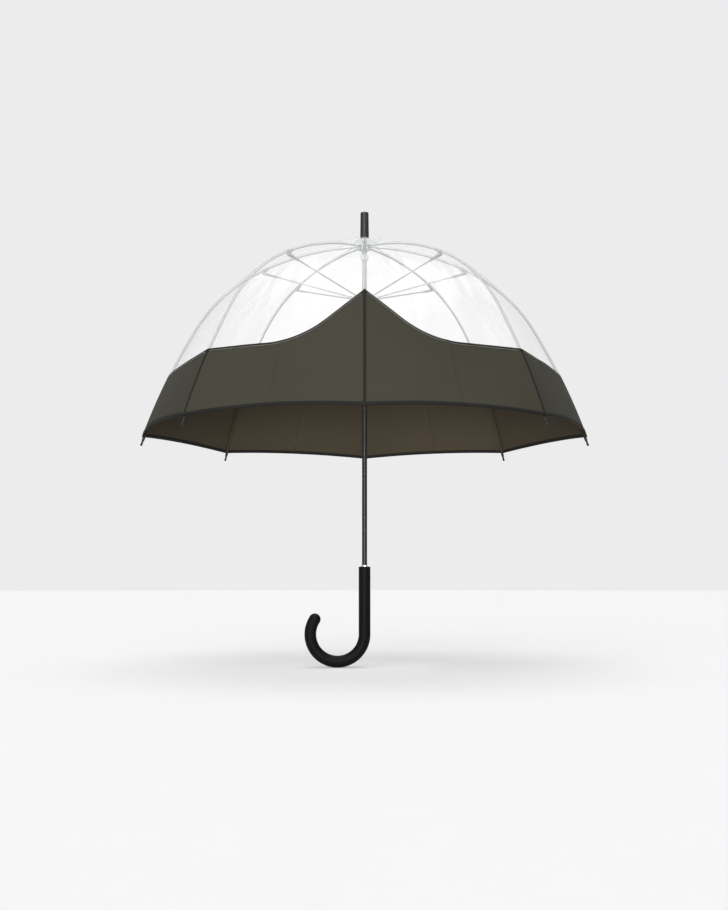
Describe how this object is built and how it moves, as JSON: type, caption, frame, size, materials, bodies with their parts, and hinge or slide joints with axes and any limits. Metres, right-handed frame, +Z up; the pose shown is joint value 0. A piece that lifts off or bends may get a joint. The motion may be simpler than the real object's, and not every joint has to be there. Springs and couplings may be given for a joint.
{
  "type": "bubble umbrella",
  "caption": "Walking-length bubble umbrella, open: deep dome of clear film above a dark olive fabric band that rises to a peak, black crook handle, folding ribs and struts",
  "frame": {"origin": "on the shaft's axis, level with the lowest point of the crook handle", "axes": "+Z up the shaft to the ferrule, -Y toward the front rib, +X right; the crook opens toward -X"},
  "size_m": [0.8916, 0.8916, 0.91],
  "materials": {
    "bright_steel": "bright drawn steel",
    "black_lacquer": "satin black lacquer on steel",
    "dark_lacquer": "satin olive-grey lacquer",
    "soft_grip": "rubberised matte black",
    "grey_plastic": "moulded grey",
    "black_plastic": "moulded black",
    "rib_grey": "pale grey glass-fibre rod",
    "clear_film": "clear glossy film",
    "band_fabric": "dark olive woven polyester"
  },
  "bodies": {
    "root": {"shaft_upper": "bright_steel", "shaft_lower": "black_lacquer", "handle": "soft_grip", "handle_collar": "bright_steel", "ferrule": "dark_lacquer", "stop_collar": "grey_plastic", "notch": "grey_plastic", "notch_wire": "bright_steel"},
    "runner": {"runner": "black_plastic", "runner_wire": "bright_steel"},
    "top_catch": {"top_catch": "bright_steel"},
    "bottom_catch": {"bottom_catch": "bright_steel"},
    "inner_1": {"inner_rib_1": "rib_grey", "film_panel_1": "clear_film"},
    "outer_1": {"outer_rib_1": "rib_grey", "rib_tip_1": "black_plastic", "band_panel_1": "band_fabric"},
    "strut_1": {"strut_1": "rib_grey"},
    "inner_2": {"inner_rib_2": "rib_grey", "film_panel_2": "clear_film"},
    "outer_2": {"outer_rib_2": "rib_grey", "rib_tip_2": "black_plastic", "band_panel_2": "band_fabric"},
    "strut_2": {"strut_2": "rib_grey"},
    "inner_3": {"inner_rib_3": "rib_grey", "film_panel_3": "clear_film"},
    "outer_3": {"outer_rib_3": "rib_grey", "rib_tip_3": "black_plastic", "band_panel_3": "band_fabric"},
    "strut_3": {"strut_3": "rib_grey"},
    "inner_4": {"inner_rib_4": "rib_grey", "film_panel_4": "clear_film"},
    "outer_4": {"outer_rib_4": "rib_grey", "rib_tip_4": "black_plastic", "band_panel_4": "band_fabric"},
    "strut_4": {"strut_4": "rib_grey"},
    "inner_5": {"inner_rib_5": "rib_grey", "film_panel_5": "clear_film"},
    "outer_5": {"outer_rib_5": "rib_grey", "rib_tip_5": "black_plastic", "band_panel_5": "band_fabric"},
    "strut_5": {"strut_5": "rib_grey"},
    "inner_6": {"inner_rib_6": "rib_grey", "film_panel_6": "clear_film"},
    "outer_6": {"outer_rib_6": "rib_grey", "rib_tip_6": "black_plastic", "band_panel_6": "band_fabric"},
    "strut_6": {"strut_6": "rib_grey"},
    "inner_7": {"inner_rib_7": "rib_grey", "film_panel_7": "clear_film"},
    "outer_7": {"outer_rib_7": "rib_grey", "rib_tip_7": "black_plastic", "band_panel_7": "band_fabric"},
    "strut_7": {"strut_7": "rib_grey"},
    "inner_8": {"inner_rib_8": "rib_grey", "film_panel_8": "clear_film"},
    "outer_8": {"outer_rib_8": "rib_grey", "rib_tip_8": "black_plastic", "band_panel_8": "band_fabric"},
    "strut_8": {"strut_8": "rib_grey"}
  },
  "joints": [
    {"name": "runner_slide", "type": "slide", "parent": "root", "child": "runner", "axis": [0, 0, -1], "range_m": [0, 0.2952], "deforming": ["film_panel_1", "band_panel_1", "film_panel_2", "band_panel_2", "film_panel_3", "band_panel_3", "film_panel_4", "band_panel_4", "film_panel_5", "band_panel_5", "film_panel_6", "band_panel_6", "film_panel_7", "band_panel_7", "film_panel_8", "band_panel_8", "top_catch", "bottom_catch"]},
    {"name": "rib_hinge_1", "type": "hinge", "parent": "root", "child": "inner_1", "pos_m": [0, -0.01, 0.838], "axis": [1, 0, 0], "range_deg": [0, 72.6]},
    {"name": "rib_flex_1", "type": "hinge", "parent": "inner_1", "child": "outer_1", "pos_m": [0, -0.206, 0.7885], "axis": [1, 0, 0], "range_deg": [-41.26, 0]},
    {"name": "strut_hinge_1", "type": "hinge", "parent": "inner_1", "child": "strut_1", "pos_m": [0, -0.20403, 0.78446], "axis": [1, 0, 0], "range_deg": [-145.18, 0]},
    {"name": "rib_hinge_2", "type": "hinge", "parent": "root", "child": "inner_2", "pos_m": [0.00707, -0.00707, 0.838], "axis": [0.7071, 0.7071, 0], "range_deg": [0, 72.6]},
    {"name": "rib_flex_2", "type": "hinge", "parent": "inner_2", "child": "outer_2", "pos_m": [0.14566, -0.14566, 0.7885], "axis": [0.7071, 0.7071, 0], "range_deg": [-41.26, 0]},
    {"name": "strut_hinge_2", "type": "hinge", "parent": "inner_2", "child": "strut_2", "pos_m": [0.14427, -0.14427, 0.78446], "axis": [0.7071, 0.7071, 0], "range_deg": [-145.18, 0]},
    {"name": "rib_hinge_3", "type": "hinge", "parent": "root", "child": "inner_3", "pos_m": [0.01, 0, 0.838], "axis": [0, 1, 0], "range_deg": [0, 72.6]},
    {"name": "rib_flex_3", "type": "hinge", "parent": "inner_3", "child": "outer_3", "pos_m": [0.206, 0, 0.7885], "axis": [0, 1, 0], "range_deg": [-41.26, 0]},
    {"name": "strut_hinge_3", "type": "hinge", "parent": "inner_3", "child": "strut_3", "pos_m": [0.20403, 0, 0.78446], "axis": [0, 1, 0], "range_deg": [-145.18, 0]},
    {"name": "rib_hinge_4", "type": "hinge", "parent": "root", "child": "inner_4", "pos_m": [0.00707, 0.00707, 0.838], "axis": [-0.7071, 0.7071, 0], "range_deg": [0, 72.6]},
    {"name": "rib_flex_4", "type": "hinge", "parent": "inner_4", "child": "outer_4", "pos_m": [0.14566, 0.14566, 0.7885], "axis": [-0.7071, 0.7071, 0], "range_deg": [-41.26, 0]},
    {"name": "strut_hinge_4", "type": "hinge", "parent": "inner_4", "child": "strut_4", "pos_m": [0.14427, 0.14427, 0.78446], "axis": [-0.7071, 0.7071, 0], "range_deg": [-145.18, 0]},
    {"name": "rib_hinge_5", "type": "hinge", "parent": "root", "child": "inner_5", "pos_m": [0, 0.01, 0.838], "axis": [-1, 0, 0], "range_deg": [0, 72.6]},
    {"name": "rib_flex_5", "type": "hinge", "parent": "inner_5", "child": "outer_5", "pos_m": [0, 0.206, 0.7885], "axis": [-1, 0, 0], "range_deg": [-41.26, 0]},
    {"name": "strut_hinge_5", "type": "hinge", "parent": "inner_5", "child": "strut_5", "pos_m": [0, 0.20403, 0.78446], "axis": [-1, 0, 0], "range_deg": [-145.18, 0]},
    {"name": "rib_hinge_6", "type": "hinge", "parent": "root", "child": "inner_6", "pos_m": [-0.00707, 0.00707, 0.838], "axis": [-0.7071, -0.7071, 0], "range_deg": [0, 72.6]},
    {"name": "rib_flex_6", "type": "hinge", "parent": "inner_6", "child": "outer_6", "pos_m": [-0.14566, 0.14566, 0.7885], "axis": [-0.7071, -0.7071, 0], "range_deg": [-41.26, 0]},
    {"name": "strut_hinge_6", "type": "hinge", "parent": "inner_6", "child": "strut_6", "pos_m": [-0.14427, 0.14427, 0.78446], "axis": [-0.7071, -0.7071, 0], "range_deg": [-145.18, 0]},
    {"name": "rib_hinge_7", "type": "hinge", "parent": "root", "child": "inner_7", "pos_m": [-0.01, 0, 0.838], "axis": [0, -1, 0], "range_deg": [0, 72.6]},
    {"name": "rib_flex_7", "type": "hinge", "parent": "inner_7", "child": "outer_7", "pos_m": [-0.206, 0, 0.7885], "axis": [0, -1, 0], "range_deg": [-41.26, 0]},
    {"name": "strut_hinge_7", "type": "hinge", "parent": "inner_7", "child": "strut_7", "pos_m": [-0.20403, 0, 0.78446], "axis": [0, -1, 0], "range_deg": [-145.18, 0]},
    {"name": "rib_hinge_8", "type": "hinge", "parent": "root", "child": "inner_8", "pos_m": [-0.00707, -0.00707, 0.838], "axis": [0.7071, -0.7071, 0], "range_deg": [0, 72.6]},
    {"name": "rib_flex_8", "type": "hinge", "parent": "inner_8", "child": "outer_8", "pos_m": [-0.14566, -0.14566, 0.7885], "axis": [0.7071, -0.7071, 0], "range_deg": [-41.26, 0]},
    {"name": "strut_hinge_8", "type": "hinge", "parent": "inner_8", "child": "strut_8", "pos_m": [-0.14427, -0.14427, 0.78446], "axis": [0.7071, -0.7071, 0], "range_deg": [-145.18, 0]},
    {"name": "top_catch_press", "type": "hinge", "parent": "root", "child": "top_catch", "pos_m": [0, 0.003, 0.65141], "axis": [1, 0, 0], "range_deg": [0, 4.4], "stiffness_Nm_per_rad": 1.8},
    {"name": "bottom_catch_press", "type": "hinge", "parent": "root", "child": "bottom_catch", "pos_m": [0, 0.003, 0.44919], "axis": [-1, 0, 0], "range_deg": [0, 4.4], "stiffness_Nm_per_rad": 1.8}
  ],
  "couplings": [
    {"joint": "rib_hinge_1", "follows": "runner_slide", "rad_per_m": 4.2912},
    {"joint": "rib_flex_1", "follows": "runner_slide", "rad_per_m": -2.4383},
    {"joint": "strut_hinge_1", "follows": "runner_slide", "rad_per_m": -8.5824},
    {"joint": "rib_hinge_2", "follows": "runner_slide", "rad_per_m": 4.2912},
    {"joint": "rib_flex_2", "follows": "runner_slide", "rad_per_m": -2.4383},
    {"joint": "strut_hinge_2", "follows": "runner_slide", "rad_per_m": -8.5824},
    {"joint": "rib_hinge_3", "follows": "runner_slide", "rad_per_m": 4.2912},
    {"joint": "rib_flex_3", "follows": "runner_slide", "rad_per_m": -2.4383},
    {"joint": "strut_hinge_3", "follows": "runner_slide", "rad_per_m": -8.5824},
    {"joint": "rib_hinge_4", "follows": "runner_slide", "rad_per_m": 4.2912},
    {"joint": "rib_flex_4", "follows": "runner_slide", "rad_per_m": -2.4383},
    {"joint": "strut_hinge_4", "follows": "runner_slide", "rad_per_m": -8.5824},
    {"joint": "rib_hinge_5", "follows": "runner_slide", "rad_per_m": 4.2912},
    {"joint": "rib_flex_5", "follows": "runner_slide", "rad_per_m": -2.4383},
    {"joint": "strut_hinge_5", "follows": "runner_slide", "rad_per_m": -8.5824},
    {"joint": "rib_hinge_6", "follows": "runner_slide", "rad_per_m": 4.2912},
    {"joint": "rib_flex_6", "follows": "runner_slide", "rad_per_m": -2.4383},
    {"joint": "strut_hinge_6", "follows": "runner_slide", "rad_per_m": -8.5824},
    {"joint": "rib_hinge_7", "follows": "runner_slide", "rad_per_m": 4.2912},
    {"joint": "rib_flex_7", "follows": "runner_slide", "rad_per_m": -2.4383},
    {"joint": "strut_hinge_7", "follows": "runner_slide", "rad_per_m": -8.5824},
    {"joint": "rib_hinge_8", "follows": "runner_slide", "rad_per_m": 4.2912},
    {"joint": "rib_flex_8", "follows": "runner_slide", "rad_per_m": -2.4383},
    {"joint": "strut_hinge_8", "follows": "runner_slide", "rad_per_m": -8.5824}
  ]
}
